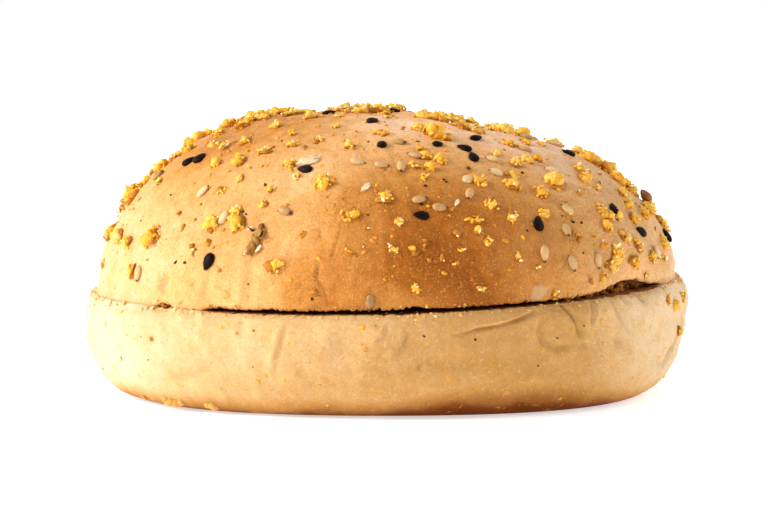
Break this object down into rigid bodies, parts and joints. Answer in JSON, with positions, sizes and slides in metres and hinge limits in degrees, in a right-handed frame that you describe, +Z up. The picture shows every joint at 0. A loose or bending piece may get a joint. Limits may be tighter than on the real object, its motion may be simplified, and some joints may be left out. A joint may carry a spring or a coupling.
{
  "type": "sliced bread roll",
  "caption": "Round seeded burger bun, sliced across: a domed crown with corn grits and sesame on its crust, lying on a flat-based heel.",
  "frame": {"origin": "middle of the flat base, on the surface that the bun stands on", "axes": "+Z up through the dome, -Y towards the side that the picture shows, +X to that view's right"},
  "size_m": [0.1159, 0.1138, 0.0546],
  "materials": {
    "crown_crust": "baked brown crust, faintly satin",
    "heel_crust": "pale baked crust, matte"
  },
  "bodies": {
    "root": {"crown": "crown_crust", "heel": "heel_crust"}
  },
  "joints": []
}
